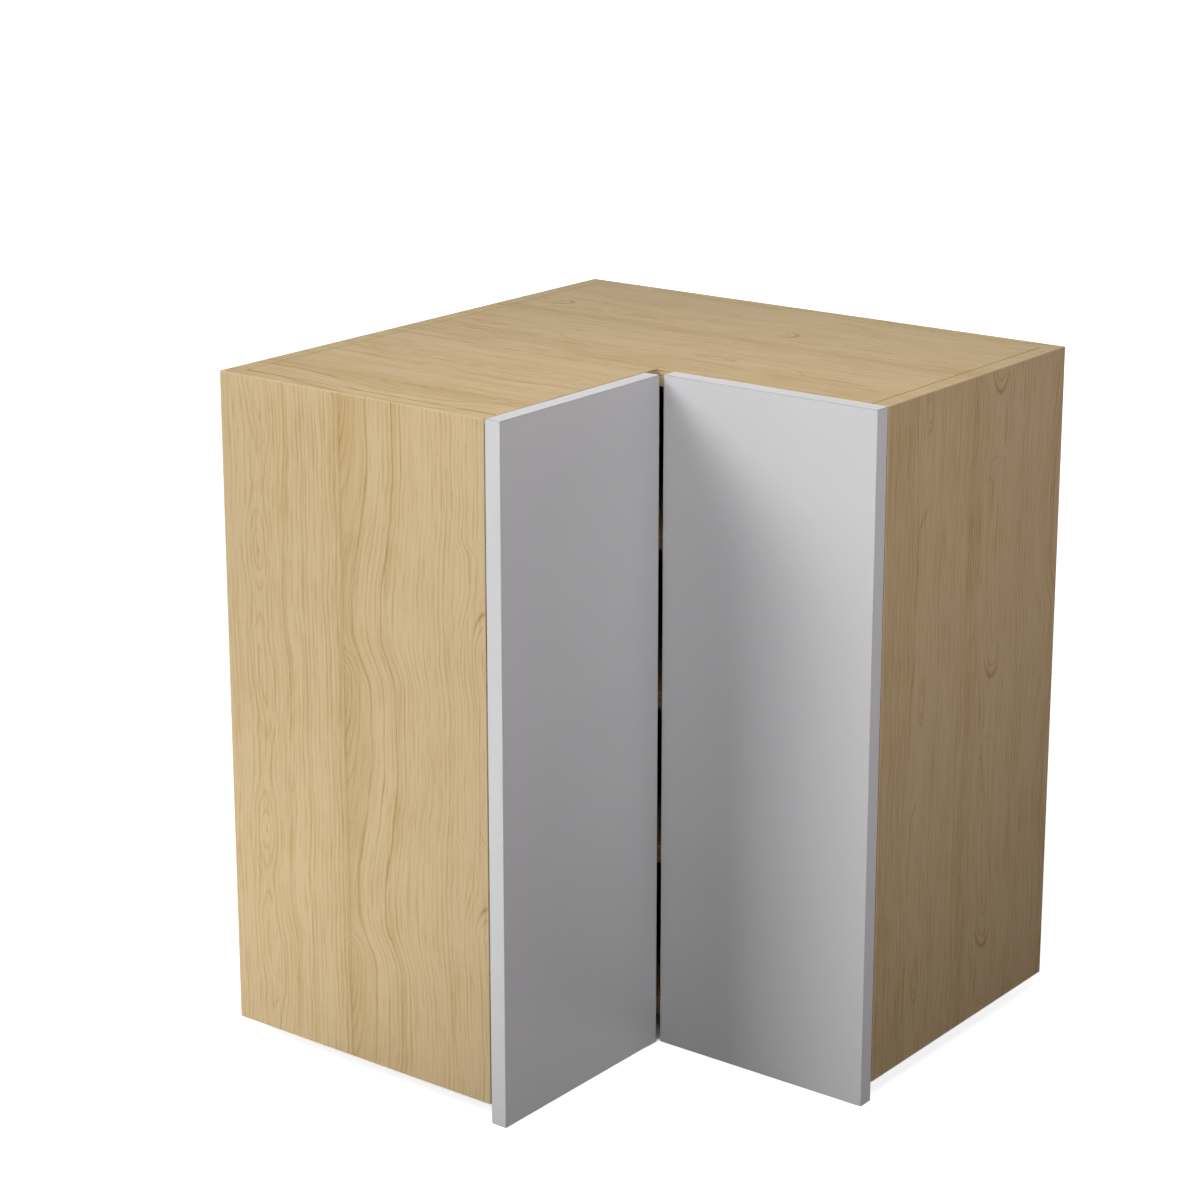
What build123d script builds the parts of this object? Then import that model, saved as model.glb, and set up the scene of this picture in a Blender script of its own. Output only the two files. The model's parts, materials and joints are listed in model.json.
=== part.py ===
"""L-shaped corner wall cabinet with two slab doors, in millimetres.

The origin is the corner of the room at the level of the carcass's underside.
+X runs along the right-hand wall, -Y along the left-hand wall and +Z is up.
Each leg ends in an end panel, and each door hangs on its end panel by two
concealed cup hinges. The left leg is the right leg mirrored across the
vertical plane that halves the room's corner, apart from the corner joint,
where the left back panel butts against the right one.
"""
from build123d import *
import os
from math import cos, radians, sin

# Carcass
leg_length = 615.0
carcass_depth = 342.0
carcass_height = 700.0
board = 18.0
eased_edge = 0.4

# Shelves
shelf_names = ("lower_shelf", "middle_shelf", "upper_shelf")
shelf_board = 18.0
shelf_play = 1.0
shelf_setback = 2.0

# Doors
door_thickness = 18.0
door_gap = 1.0
door_overhang = 20.0
door_reveal = 0.5
door_corner_clearance = 3.0
door_edge_radius = 0.5

# Door bumpers: soft discs between a door and the carcass's front edges
bumper_diameter = 8.0
bumper_thickness = 0.8
bumper_inset = 14.0

# Cam fittings and dowels of the carcass joints
cam_diameter = 15.0
cam_height = 12.5
cam_distance = 24.0
cam_slot = 1.2
cam_slot_depth = 2.0
bolt_shank_diameter = 6.0
bolt_head_diameter = 7.0
bolt_head_length = 4.0
bolt_thread_diameter = 5.0
bolt_thread_length = 11.0
bolt_bore_diameter = 8.0
dowel_diameter = 8.0
dowel_length = 30.0
dowel_depth = 11.0
fitting_clearance = 0.1

# Where the fittings sit: distances from the ends of each joint
end_cam_inset = 62.0
back_cam_inset = 90.0
upright_cam_inset = 130.0
dowel_spacing = 32.0

# Shelf supports and the rows of holes that let a shelf be moved
support_pin_diameter = 5.0
support_pin_length = 9.0
support_stub_diameter = 8.0
support_stub_length = 9.0
hole_pitch = 32.0
hole_depth = 12.0
hole_row_front = 37.0
hole_row_back = 50.0
back_hole_inset = 100.0

# Wall fixing holes through the back panels
wall_hole_diameter = 7.0
wall_hole_inset = 60.0
wall_hole_side_inset = 107.5

# Concealed hinges. Their plane is seen from above: u runs from the door's
# outer edge towards its free edge, w points out of the cabinet from the
# carcass's front edge.
hinge_inset = 92.0
arm_rear_pivot = (25.0, -13.85)
arm_front_pivot = (29.5, -3.75)
cup_near_pivot = (8.3, 6.8)
cup_far_pivot = (11.8, 7.9)
long_link_bends = ((20.6, -7.4), (20.6, 5.0), (17.2, 10.1), (12.8, 11.4), (9.6, 9.6))
short_link_bends = ((27.6, 4.6), (23.6, 9.9), (19.3, 11.2), (16.3, 9.4))
link_bend_radius = 1.5
link_thickness = 1.6
pivot_pin_radius = 0.9
pivot_clearance = 0.06
pivot_eye_radius = 1.75
open_pivot_play = 1.45
long_link_half_width = 3.0
short_link_inner = 3.5
short_link_width = 1.7

cup_radius = 17.4
cup_bore_clearance = 0.1
cup_edge_distance = 5.0
cup_depth = 12.4
cup_wall = 0.8
cup_pocket_half_width = 5.8
cup_lug_end = 16.5
cup_lug_half_width = 9.4
cup_pocket_start = 7.0
cup_notch_start = 6.1
cup_notch_half_width = 3.4
flange_thickness = 0.8
flange_start = 20.5
flange_end = 38.0
flange_half_height = 26.0
flange_corner = 5.0
cup_screw_offset = 9.5
cup_screw_spacing = 45.0
cup_screw_radius = 1.7
cup_screw_head_radius = 3.3
cup_screw_length = 12.5

arm_sheet = 1.4
arm_half_width = 7.5
arm_top = 34.5
arm_low_edge = 24.5
arm_tail = -62.0
arm_web_end = -10.0
arm_nose_radius = 3.3
arm_nose_slope = 20.0
plate_base_thickness = 2.5
plate_row = 37.0
plate_wing_half_height = 26.0
plate_wing_half_width = 9.0
plate_body_front = -18.5
plate_body_back = -58.0
plate_body_clearance = 0.3
plate_body_seat = 0.1
plate_screw_radius = 3.1
plate_screw_head_radius = 4.6
plate_screw_length = 12.0
plate_wing_corner = 4.5
arm_fixing_row = -50.0
arm_adjust_row = -27.0
arm_screw_radius = 2.4
arm_screw_head_radius = 4.0
arm_screw_head_height = 1.8
adjust_head_height = 0.6
screw_slot_width = 1.0
screw_slot_depth = 0.9
flange_slot_length = 4.6
flange_slot_depth = 0.5

# Worked out from the sizes above
inner_face = leg_length - board
inner_height = carcass_height - 2 * board
door_width = leg_length - door_reveal - (carcass_depth + door_gap + door_thickness + door_corner_clearance)
hinge_heights = {"lower": hinge_inset, "upper": carcass_height - hinge_inset}
panel_inner_u = board - door_reveal
cup_centre_u = cup_edge_distance + cup_radius + cup_bore_clearance
cup_screw_u = cup_centre_u + cup_screw_offset
screw_heights = (-cup_screw_spacing / 2, cup_screw_spacing / 2)
plate_hole_heights = (-hole_pitch / 2, hole_pitch / 2)
shelf_pitch = (inner_height - len(shelf_names) * shelf_board) / (len(shelf_names) + 1) + shelf_board
shelf_undersides = [board + (i + 1) * shelf_pitch - shelf_board for i in range(len(shelf_names))]

solids = {}
cuts = {}


def add(node, *pieces):
    """Put finished solids into a named node."""
    solids.setdefault(node, []).extend(pieces)


def cut(node, *tools):
    """Remember holes that are taken out of a node's panel at the end."""
    cuts.setdefault(node, []).extend(tools)


def mirrored(shape):
    """The same shape on the other leg: x and y change places with their signs turned."""
    return mirror(shape, Plane((0, 0, 0), z_dir=(1, 1, 0)))


def block(low, high):
    """A box from its lowest to its highest corner."""
    size = [b - a for a, b in zip(low, high)]
    centre = [(a + b) / 2 for a, b in zip(low, high)]
    return Pos(*centre) * Box(*size)


def eased(solid):
    """Take the sharpness off every edge of a board."""
    return chamfer(solid.edges(), eased_edge)


def l_board(wall_side, end_side, front_side, low, high):
    """An L-shaped board lying flat, by its distances from the walls, leg ends and fronts."""
    end = leg_length - end_side
    front = carcass_depth - front_side
    corners = [(wall_side, -wall_side), (end, -wall_side), (end, -front),
               (front, -front), (front, -end), (wall_side, -end)]
    outline = make_face(Polyline(*corners, close=True))
    return Pos(0, 0, low) * extrude(outline, high - low)


# Carcass boards


def carcass_boards():
    """The four uprights, the top and the bottom."""
    end_panel = eased(block((inner_face, -carcass_depth, 0), (leg_length, 0, carcass_height)))
    add("right_end_panel", end_panel)
    add("left_end_panel", mirrored(end_panel))
    add("right_back_panel", eased(block((0, -board, 0), (inner_face, 0, carcass_height))))
    add("left_back_panel", eased(block((0, -inner_face, 0), (board, -board, carcass_height))))
    add("bottom_panel", eased(l_board(board, board, 0, 0, board)))
    add("top_panel", eased(l_board(board, board, 0, carcass_height - board, carcass_height)))


def shelf_boards():
    """Three loose shelves, a little smaller than the space they lie in."""
    back = board + shelf_play
    for name, underside in zip(shelf_names, shelf_undersides):
        add(name, eased(l_board(back, back, shelf_setback, underside, underside + shelf_board)))


# Joint fittings. Each is made on the joint's plane: z points into the butting
# board, x points to the face that the cam is turned from.


def cam_disc():
    """A round cam with a socket for the bolt's head and a cross slot in its face."""
    x_face = board / 2 - fitting_clearance
    middle = x_face - cam_height / 2
    turn = Rot(0, 90, 0)
    disc = Pos(middle, 0, cam_distance) * turn * Cylinder(cam_diameter / 2, cam_height)
    socket_start = cam_distance - cam_diameter / 2
    socket_length = cam_diameter / 2 + bolt_head_length / 2
    socket = Pos(0, 0, socket_start + socket_length / 2) * Cylinder(
        bolt_head_diameter / 2 + fitting_clearance, socket_length)
    cross = block((x_face - cam_slot_depth, -cam_slot / 2, cam_distance - cam_diameter / 4),
                  (x_face, cam_slot / 2, cam_distance + cam_diameter / 4))
    bar = block((x_face - cam_slot_depth, -cam_diameter / 4, cam_distance - cam_slot / 2),
                (x_face, cam_diameter / 4, cam_distance + cam_slot / 2))
    return disc - socket - cross - bar


def cam_bolt():
    """Thread in the face board, shank across the joint and head inside the cam."""
    head_end = cam_distance + bolt_head_length / 2 - fitting_clearance
    head_start = head_end - bolt_head_length
    thread = Pos(0, 0, -bolt_thread_length / 2) * Cylinder(bolt_thread_diameter / 2, bolt_thread_length)
    shank = Pos(0, 0, head_start / 2) * Cylinder(bolt_shank_diameter / 2, head_start)
    head = Pos(0, 0, (head_start + head_end) / 2) * Cylinder(bolt_head_diameter / 2, bolt_head_length)
    return thread + shank + head


def cam_holes():
    """The cam's bore and the bolt's bore in the butting board, and the thread's hole in the other."""
    bore_depth = cam_height + 2 * fitting_clearance
    cam_bore = Pos(board / 2 - bore_depth / 2, 0, cam_distance) * Rot(0, 90, 0) * Cylinder(
        cam_diameter / 2 + fitting_clearance, bore_depth)
    bolt_bore = Pos(0, 0, cam_distance / 2) * Cylinder(bolt_bore_diameter / 2, cam_distance)
    thread_depth = bolt_thread_length + fitting_clearance
    thread_hole = Pos(0, 0, -thread_depth / 2) * Cylinder(
        bolt_thread_diameter / 2 + fitting_clearance, thread_depth)
    return cam_bore + bolt_bore, thread_hole


def wood_dowel():
    """A plain glued dowel across the joint."""
    return Pos(0, 0, dowel_length / 2 - dowel_depth) * Cylinder(dowel_diameter / 2, dowel_length)


def dowel_holes():
    """The dowel's hole in the butting board and in the face board."""
    radius = dowel_diameter / 2 + fitting_clearance
    deep = dowel_length - dowel_depth + fitting_clearance
    shallow = dowel_depth + fitting_clearance
    return Pos(0, 0, deep / 2) * Cylinder(radius, deep), Pos(0, 0, -shallow / 2) * Cylinder(radius, shallow)


def join(place, butting, face, with_cam, flip):
    """Set one cam fitting or one dowel at a place and drill both boards for it."""
    make = mirrored if flip else (lambda shape: shape)
    edge_hole, face_hole = cam_holes() if with_cam else dowel_holes()
    cut(butting, make(place * edge_hole))
    cut(face, make(place * face_hole))
    if with_cam:
        add("cam_discs", make(place * cam_disc()))
        add("cam_bolts", make(place * cam_bolt()))
    else:
        add("wood_dowels", make(place * wood_dowel()))


def joint_places(first, last):
    """Cams at both ends of a joint, each with a dowel beside it towards the middle."""
    return ((first, True), (first + dowel_spacing, False), (last - dowel_spacing, False), (last, True))


def carcass_joints():
    """Fittings between all boards of the carcass."""
    levels = (("bottom_panel", board / 2, (0, 0, 1)), ("top_panel", carcass_height - board / 2, (0, 0, -1)))
    for flip, side in ((False, "right"), (True, "left")):
        for panel, height, mouth in levels:
            for depth, with_cam in joint_places(end_cam_inset, carcass_depth - end_cam_inset):
                place = Location(Plane((inner_face, -depth, height), x_dir=mouth, z_dir=(-1, 0, 0)))
                join(place, panel, side + "_end_panel", with_cam, flip)
            for along, with_cam in joint_places(board + back_cam_inset, inner_face - back_cam_inset):
                place = Location(Plane((along, -board, height), x_dir=mouth, z_dir=(0, -1, 0)))
                join(place, panel, side + "_back_panel", with_cam, flip)
        for height, with_cam in joint_places(upright_cam_inset, carcass_height - upright_cam_inset):
            place = Location(Plane((inner_face, -board / 2, height), x_dir=(0, -1, 0), z_dir=(-1, 0, 0)))
            join(place, side + "_back_panel", side + "_end_panel", with_cam, flip)
    for height, with_cam in joint_places(upright_cam_inset, carcass_height - upright_cam_inset):
        place = Location(Plane((board / 2, -board, height), x_dir=(1, 0, 0), z_dir=(0, -1, 0)))
        join(place, "left_back_panel", "right_back_panel", with_cam, False)


# Shelf supports


def support_pin():
    """A pin in the board, z pointing out of it, and a stub with a flat top at y = 0."""
    pin = Pos(0, 0, -support_pin_length / 2) * Cylinder(support_pin_diameter / 2, support_pin_length)
    stub = Pos(0, 0, support_stub_length / 2) * Cylinder(support_stub_diameter / 2, support_stub_length)
    reach = support_stub_diameter
    above = block((-reach, 0, 0), (reach, reach, support_stub_length))
    return pin + (stub - above)


def support_rows():
    """Where the columns of support holes stand on the right leg: board, point and way out."""
    front = -(carcass_depth - hole_row_front)
    back = -(board + hole_row_back)
    near_corner = board + back_hole_inset
    near_end = inner_face - back_hole_inset
    into_leg, into_room = (-1, 0, 0), (0, -1, 0)
    return (("end_panel", (inner_face, front), into_leg), ("end_panel", (inner_face, back), into_leg),
            ("back_panel", (near_corner, -board), into_room), ("back_panel", (near_end, -board), into_room))


def shelf_supports():
    """Pins under each shelf, with a spare hole above and below each pin."""
    for side in ("right", "left"):
        make = mirrored if side == "left" else (lambda shape: shape)
        for panel, (x, y), outwards in support_rows():
            for name, underside in zip(shelf_names, shelf_undersides):
                across = Vector(0, 0, 1).cross(Vector(*outwards))
                place = Location(Plane((x, y, underside), x_dir=across, z_dir=outwards))
                add(name + "_supports", make(place * support_pin()))
                for step in (-1, 0, 1):
                    spot = Location(Plane((x, y, underside + step * hole_pitch), z_dir=outwards))
                    hole = spot * Pos(0, 0, -hole_depth / 2) * Cylinder(
                        support_pin_diameter / 2 + fitting_clearance, hole_depth)
                    cut(side + "_" + panel, make(hole))


def wall_holes():
    """Four holes through each back panel for the screws that hold the cabinet to the walls."""
    for side in ("right", "left"):
        make = mirrored if side == "left" else (lambda shape: shape)
        for x in (wall_hole_side_inset, leg_length - wall_hole_side_inset):
            for z in (wall_hole_inset, carcass_height - wall_hole_inset):
                hole = Pos(x, -board / 2, z) * Rot(90, 0, 0) * Cylinder(wall_hole_diameter / 2, 2 * board)
                cut(side + "_back_panel", make(hole))


# Hinges, made in their own plane: x is u, y is w, z is up from the hinge's middle


def upright_pin(point, radius, half_length):
    """A round pin standing on a point of the hinge's plane."""
    return Pos(point[0], point[1], 0) * Cylinder(radius, 2 * half_length)


def rod_along_w(u, start, end, z, radius):
    """A round rod that runs square to the door."""
    return Pos(u, (start + end) / 2, z) * Rot(90, 0, 0) * Cylinder(radius, end - start)


def rod_along_u(start, end, w, z, radius):
    """A round rod that runs square to the end panel."""
    return Pos((start + end) / 2, w, z) * Rot(0, 90, 0) * Cylinder(radius, end - start)


def flange_head(z, clearance):
    """The countersunk cone of a flange screw, or with a clearance the hole for it."""
    place = Pos(cup_screw_u, door_gap - flange_thickness / 2, z) * Rot(90, 0, 0)
    return place * Cone(cup_screw_radius + clearance, cup_screw_head_radius + clearance, flange_thickness)


def plate_head(z, clearance):
    """The countersunk cone of a plate screw, or with a clearance the hole for it."""
    place = Pos(panel_inner_u + plate_base_thickness / 2, -plate_row, z) * Rot(0, 90, 0)
    cone = Cone(plate_screw_radius + clearance, plate_screw_head_radius + clearance, plate_base_thickness)
    return place * cone


def bent_strip(points, low, high):
    """A strip of sheet that follows a bent line, standing from one height to another."""
    line = FilletPolyline(*points, radius=link_bend_radius)
    face = trace(line, link_thickness)
    return Pos(0, 0, low) * extrude(face, high - low)


def link(route, eyes, low, high):
    """A bent link with a round eye at each end: eyes hold each end's outer and hole radius."""
    body = bent_strip(route, low, high)
    middle = (low + high) / 2
    for point, (outer, hole) in zip((route[0], route[-1]), eyes):
        body += Pos(point[0], point[1], middle) * Cylinder(outer, high - low)
    for point, (outer, hole) in zip((route[0], route[-1]), eyes):
        body -= Pos(point[0], point[1], middle) * Cylinder(hole, high - low)
    return body


def long_link():
    """The middle link, from the arm's rear pin to the pin near the door's edge."""
    eye = (pivot_eye_radius, pivot_pin_radius + pivot_clearance)
    route = (arm_rear_pivot, *long_link_bends, cup_near_pivot)
    return link(route, (eye, eye), -long_link_half_width, long_link_half_width)


def short_links():
    """The outer pair of links. Their eyes on the arm's front pin have play, as the opened pivot."""
    open_hole = pivot_pin_radius + open_pivot_play
    open_eye = (open_hole + link_thickness / 2, open_hole)
    eyes = (open_eye, (pivot_eye_radius, pivot_pin_radius + pivot_clearance))
    route = (arm_front_pivot, *short_link_bends, cup_far_pivot)
    outer = short_link_inner + short_link_width
    return link(route, eyes, short_link_inner, outer), link(route, eyes, -outer, -short_link_inner)


def hinge_cup():
    """A round cup with two lugs that hold the pins, and a flat flange with two screw holes."""
    inside_floor = door_gap + cup_depth - cup_wall
    inner_radius = cup_radius - cup_wall
    body = rod_along_w(cup_centre_u, door_gap, door_gap + cup_depth, 0, cup_radius)
    hollow = rod_along_w(cup_centre_u, door_gap, inside_floor, 0, inner_radius)
    lugs = block((0, door_gap, -cup_lug_half_width), (cup_lug_end, inside_floor, cup_lug_half_width))
    pocket = block((cup_pocket_start, door_gap, -cup_pocket_half_width),
                   (cup_lug_end, inside_floor, cup_pocket_half_width))
    notch = block((cup_notch_start, door_gap, -cup_notch_half_width),
                  (cup_lug_end, inside_floor, cup_notch_half_width))
    corners = [(flange_start, -flange_half_height), (flange_end, -flange_half_height),
               (flange_end, flange_half_height), (flange_start, flange_half_height)]
    outline = make_face(Polyline(*corners, close=True))
    outline = fillet(outline.vertices(), flange_corner)
    plate = Pos(0, door_gap, 0) * Rot(90, 0, 0) * extrude(outline, flange_thickness)
    opening = rod_along_w(cup_centre_u, door_gap - flange_thickness, door_gap + cup_wall, 0, inner_radius)
    cup = (body - hollow) + ((lugs & body) - pocket - notch) + (plate - opening)
    for z in screw_heights:
        cup -= flange_head(z, fitting_clearance)
    pin_hole = pivot_pin_radius + pivot_clearance
    for point in (cup_near_pivot, cup_far_pivot):
        cup -= upright_pin(point, pin_hole, cup_lug_half_width)
    return cup


def cup_pins():
    """A pin across the cup's lugs for the long link, and a stub on each side for the short ones."""
    end = cup_lug_half_width - cup_wall
    length = end - short_link_inner
    stub = Cylinder(pivot_pin_radius, length)
    u, w = cup_far_pivot
    stubs = [Pos(u, w, side * (short_link_inner + length / 2)) * stub for side in (-1, 1)]
    return [upright_pin(cup_near_pivot, pivot_pin_radius, end), *stubs]


def cup_screws():
    """Countersunk screws that hold the flange to the door."""
    screws = []
    face = door_gap - flange_thickness
    near, far = cup_screw_u - flange_slot_length / 2, cup_screw_u + flange_slot_length / 2
    for z in screw_heights:
        shank = rod_along_w(cup_screw_u, door_gap, door_gap + cup_screw_length, z, cup_screw_radius)
        low, high = z - screw_slot_width / 2, z + screw_slot_width / 2
        slot = block((near, face, low), (far, face + flange_slot_depth, high))
        screws.append(flange_head(z, 0) + shank - slot)
    return screws


def door_bores():
    """What is drilled into the door for one hinge."""
    bore_end = door_gap + cup_depth + cup_bore_clearance
    tools = [rod_along_w(cup_centre_u, door_gap, bore_end, 0, cup_radius + cup_bore_clearance)]
    hole_end = door_gap + cup_screw_length + fitting_clearance
    for z in screw_heights:
        tools.append(rod_along_w(cup_screw_u, door_gap, hole_end, z, cup_screw_radius + fitting_clearance))
    return tools


def hinge_arm():
    """A channel of bent sheet over the mounting plate, whose cheeks reach out to hold both pins."""
    rear_u, rear_w = arm_rear_pivot
    front_u, front_w = arm_front_pivot
    rear_drop = rear_u - arm_nose_radius
    nose_out = arm_nose_radius * cos(radians(arm_nose_slope))
    nose_up = arm_nose_radius * sin(radians(arm_nose_slope))
    cheek_points = [(arm_low_edge, arm_tail), (arm_top, arm_tail), (arm_top, arm_web_end),
                    (front_u + nose_out, front_w + nose_up),
                    (front_u, front_w), (rear_drop, rear_w), (rear_drop, rear_w - arm_nose_radius),
                    (arm_low_edge, plate_body_front - arm_nose_radius)]
    cheek = make_face(Polyline(*cheek_points, close=True))
    cheek += Pos(front_u, front_w) * Circle(arm_nose_radius)
    strap = make_face(Polyline((front_u, front_w + arm_nose_radius), (rear_drop, rear_w), (rear_u, rear_w),
                               (front_u, front_w), close=True))
    cheek += strap
    width = 2 * arm_half_width
    channel = Pos(0, 0, -arm_half_width) * extrude(cheek, width)
    gap_half = arm_half_width - arm_sheet
    inside = block((0, arm_tail, -gap_half), (arm_top - arm_sheet, arm_nose_radius, gap_half))
    beyond = block((0, arm_web_end, -gap_half), (arm_top, arm_nose_radius, gap_half))
    arm = channel - inside - beyond
    for point in (arm_rear_pivot, arm_front_pivot):
        arm -= upright_pin(point, pivot_pin_radius + pivot_clearance, arm_half_width)
    for row in (arm_fixing_row, arm_adjust_row):
        arm -= rod_along_u(arm_top - 2 * arm_sheet, arm_top, row, 0, arm_screw_radius + fitting_clearance)
    return arm


def arm_pins():
    """The two pins through the arm's cheeks."""
    points = (arm_rear_pivot, arm_front_pivot)
    return [upright_pin(point, pivot_pin_radius, arm_half_width) for point in points]


def mounting_plate():
    """A winged base on the end panel with a raised body that the arm sits over."""
    base_top = panel_inner_u + plate_base_thickness
    body_half = arm_half_width - arm_sheet - plate_body_clearance
    body_top = arm_top - arm_sheet - plate_body_seat
    wings = block((panel_inner_u, -plate_row - plate_wing_half_width, -plate_wing_half_height),
                  (base_top, -plate_row + plate_wing_half_width, plate_wing_half_height))
    wings = fillet(wings.edges().filter_by(Axis.X), plate_wing_corner)
    body = block((panel_inner_u, plate_body_back, -body_half), (body_top, plate_body_front, body_half))
    plate = wings + body
    for z in plate_hole_heights:
        plate -= plate_head(z, fitting_clearance)
    hole_end = body_top - arm_screw_hole_depth()
    for row in (arm_fixing_row, arm_adjust_row):
        plate -= rod_along_u(hole_end, body_top, row, 0, arm_screw_radius + fitting_clearance)
    return plate


def arm_screw_hole_depth():
    """How deep the arm's screws go into the plate's body."""
    return (arm_top - panel_inner_u) / 2


def plate_screws():
    """Countersunk screws that hold the plate to the end panel."""
    screws = []
    base_top = panel_inner_u + plate_base_thickness
    screw_end = panel_inner_u - plate_screw_length
    near, far = -plate_row - screw_slot_width / 2, -plate_row + screw_slot_width / 2
    for z in plate_hole_heights:
        shank = rod_along_u(screw_end, panel_inner_u, -plate_row, z, plate_screw_radius)
        slot = block((base_top - screw_slot_depth, near, z - plate_screw_radius),
                     (base_top, far, z + plate_screw_radius))
        screws.append(plate_head(z, 0) + shank - slot)
    return screws


def plate_screw_holes():
    """Holes in the end panel for one mounting plate."""
    hole_end = panel_inner_u - plate_screw_length - fitting_clearance
    radius = plate_screw_radius + fitting_clearance
    return [rod_along_u(hole_end, panel_inner_u, -plate_row, z, radius) for z in plate_hole_heights]


def arm_screws():
    """The screw that clamps the arm to its plate and the one that sets the arm's distance."""
    screws = []
    shank_end = arm_top - arm_sheet - plate_body_seat - arm_screw_hole_depth() + fitting_clearance
    for row, height in ((arm_fixing_row, arm_screw_head_height), (arm_adjust_row, adjust_head_height)):
        head_radius = arm_screw_head_radius if height == arm_screw_head_height else arm_screw_radius
        head = rod_along_u(arm_top, arm_top + height, row, 0, head_radius)
        shank = rod_along_u(shank_end, arm_top, row, 0, arm_screw_radius)
        top = arm_top + height
        slot = block((top - screw_slot_depth, row - screw_slot_width / 2, -head_radius),
                     (top, row + screw_slot_width / 2, head_radius))
        screws.append(head + shank - slot)
    return screws


def doors_and_hinges():
    """Both doors, each with an upper and a lower hinge on its end panel."""
    for side in ("right", "left"):
        make = mirrored if side == "left" else (lambda shape: shape)
        outer_edge = leg_length - door_reveal
        front = -carcass_depth - door_gap
        slab = block((outer_edge - door_width, front - door_thickness, -door_overhang),
                     (outer_edge, front, carcass_height))
        slab = fillet(slab.edges(), door_edge_radius)
        add(side + "_door", make(slab))
        for level, height in hinge_heights.items():
            place = Pos(outer_edge, -carcass_depth, height) * Rot(0, 0, 180)
            name = side + "_" + level + "_"
            add(name + "hinge_cup", make(place * hinge_cup()))
            add(name + "hinge_arm", make(place * hinge_arm()))
            add(name + "mounting_plate", make(place * mounting_plate()))
            add(name + "long_link", make(place * long_link()))
            add(name + "short_links", *[make(place * piece) for piece in short_links()])
            add(side + "_cup_pins", *[make(place * piece) for piece in cup_pins()])
            add(side + "_cup_screws", *[make(place * piece) for piece in cup_screws()])
            add(side + "_arm_pins", *[make(place * piece) for piece in arm_pins()])
            add(side + "_arm_screws", *[make(place * piece) for piece in arm_screws()])
            add(side + "_plate_screws", *[make(place * piece) for piece in plate_screws()])
            cut(side + "_door", *[make(place * tool) for tool in door_bores()])
            cut(side + "_end_panel", *[make(place * tool) for tool in plate_screw_holes()])
        free_edge = outer_edge - door_width
        bumper_u = free_edge + bumper_inset
        for height in (board / 2, carcass_height - board / 2):
            disc = rod_along_w(bumper_u, front, front + bumper_thickness, height, bumper_diameter / 2)
            add(side + "_door_bumpers", make(disc))


carcass_boards()
shelf_boards()
carcass_joints()
shelf_supports()
wall_holes()
doors_and_hinges()

os.makedirs("parts", exist_ok=True)
for node, pieces in solids.items():
    tools = cuts.get(node, [])
    if tools:
        pieces = [piece - tools for piece in pieces]
    shape = pieces[0] if len(pieces) == 1 else Compound(children=pieces)
    export_step(shape, "parts/" + node + ".step")
print(len(solids), "nodes,", sum(len(pieces) for pieces in solids.values()), "pieces")
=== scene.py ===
"""Looks of the corner wall cabinet: materials, light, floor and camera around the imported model."""

import json
import math

import bpy
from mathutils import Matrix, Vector


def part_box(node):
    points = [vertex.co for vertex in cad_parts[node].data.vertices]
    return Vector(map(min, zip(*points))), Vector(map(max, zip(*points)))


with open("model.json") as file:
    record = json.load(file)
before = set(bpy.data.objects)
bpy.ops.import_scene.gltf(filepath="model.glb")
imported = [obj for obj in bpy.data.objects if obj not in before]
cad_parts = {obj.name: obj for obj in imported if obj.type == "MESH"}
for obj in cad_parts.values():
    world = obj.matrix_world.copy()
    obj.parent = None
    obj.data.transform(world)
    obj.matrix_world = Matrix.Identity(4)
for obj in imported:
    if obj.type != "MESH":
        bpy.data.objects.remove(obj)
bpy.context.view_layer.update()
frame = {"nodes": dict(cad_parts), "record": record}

# Camera, solved from the corners of the boards, in metres and degrees
IMAGE_SIDE = 1200
CAMERA_PLACE = (2.0829, -2.7087, 1.3512)
CAMERA_AZIMUTH = 37.456
CAMERA_ELEVATION = 15.086
FOCAL_PIXELS = 3000.7
CAMERA_SHIFT = -0.08
SENSOR_MM = 36.0
NEAREST_SEEN, FARTHEST_SEEN = 0.05, 60.0

# Light: places and sizes in metres, powers in watts and spreads in degrees
WHITE = (1.0, 1.0, 1.0, 1.0)
ROOM_LIGHT = 0.10
CABINET_MIDDLE = (0.30, -0.30, 0.35)
LAMPS = {
    "broad_front_left": dict(place=(-2.74, -5.37, 1.36), target=CABINET_MIDDLE, size=3.0, power=21.0),
    "high_front_left": dict(place=(-3.00, -4.00, 3.40), target=CABINET_MIDDLE, size=2.0, power=79.0),
    "front": dict(place=(1.47, -6.16, 0.94), target=CABINET_MIDDLE, size=3.0, power=19.0),
    "high_left": dict(place=(-0.60, -2.00, 1.90), target=(0.50, -0.36, 0.60),
                      size=1.0, power=3.1, spread=60),
    "high_right": dict(place=(1.30, -1.30, 2.20), target=(0.40, -0.40, 0.60),
                       size=1.0, power=5.4, spread=90),
    "side_right": dict(place=(2.20, -0.30, 0.70), target=(0.50, -0.35, 0.42),
                       size=0.6, power=0.65, spread=70, tint=(1.00, 0.95, 0.98)),
    "far_right": dict(place=(1.70, 0.80, 1.00), target=(0.62, -0.17, 0.90),
                      size=0.6, power=0.5, spread=90, tint=(1.00, 0.56, 0.80)),
    "low_end": dict(place=(-0.05, -1.15, 0.00), target=(0.17, -0.62, 0.05),
                    size=0.4, power=1.0, spread=120),
    "behind": dict(place=(-2.60, 3.90, 1.60), target=CABINET_MIDDLE, size=2.5, power=35.0),
    "low_behind": dict(place=(0.30, 4.20, 0.45), target=CABINET_MIDDLE, size=2.0, power=30.0),
}

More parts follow.
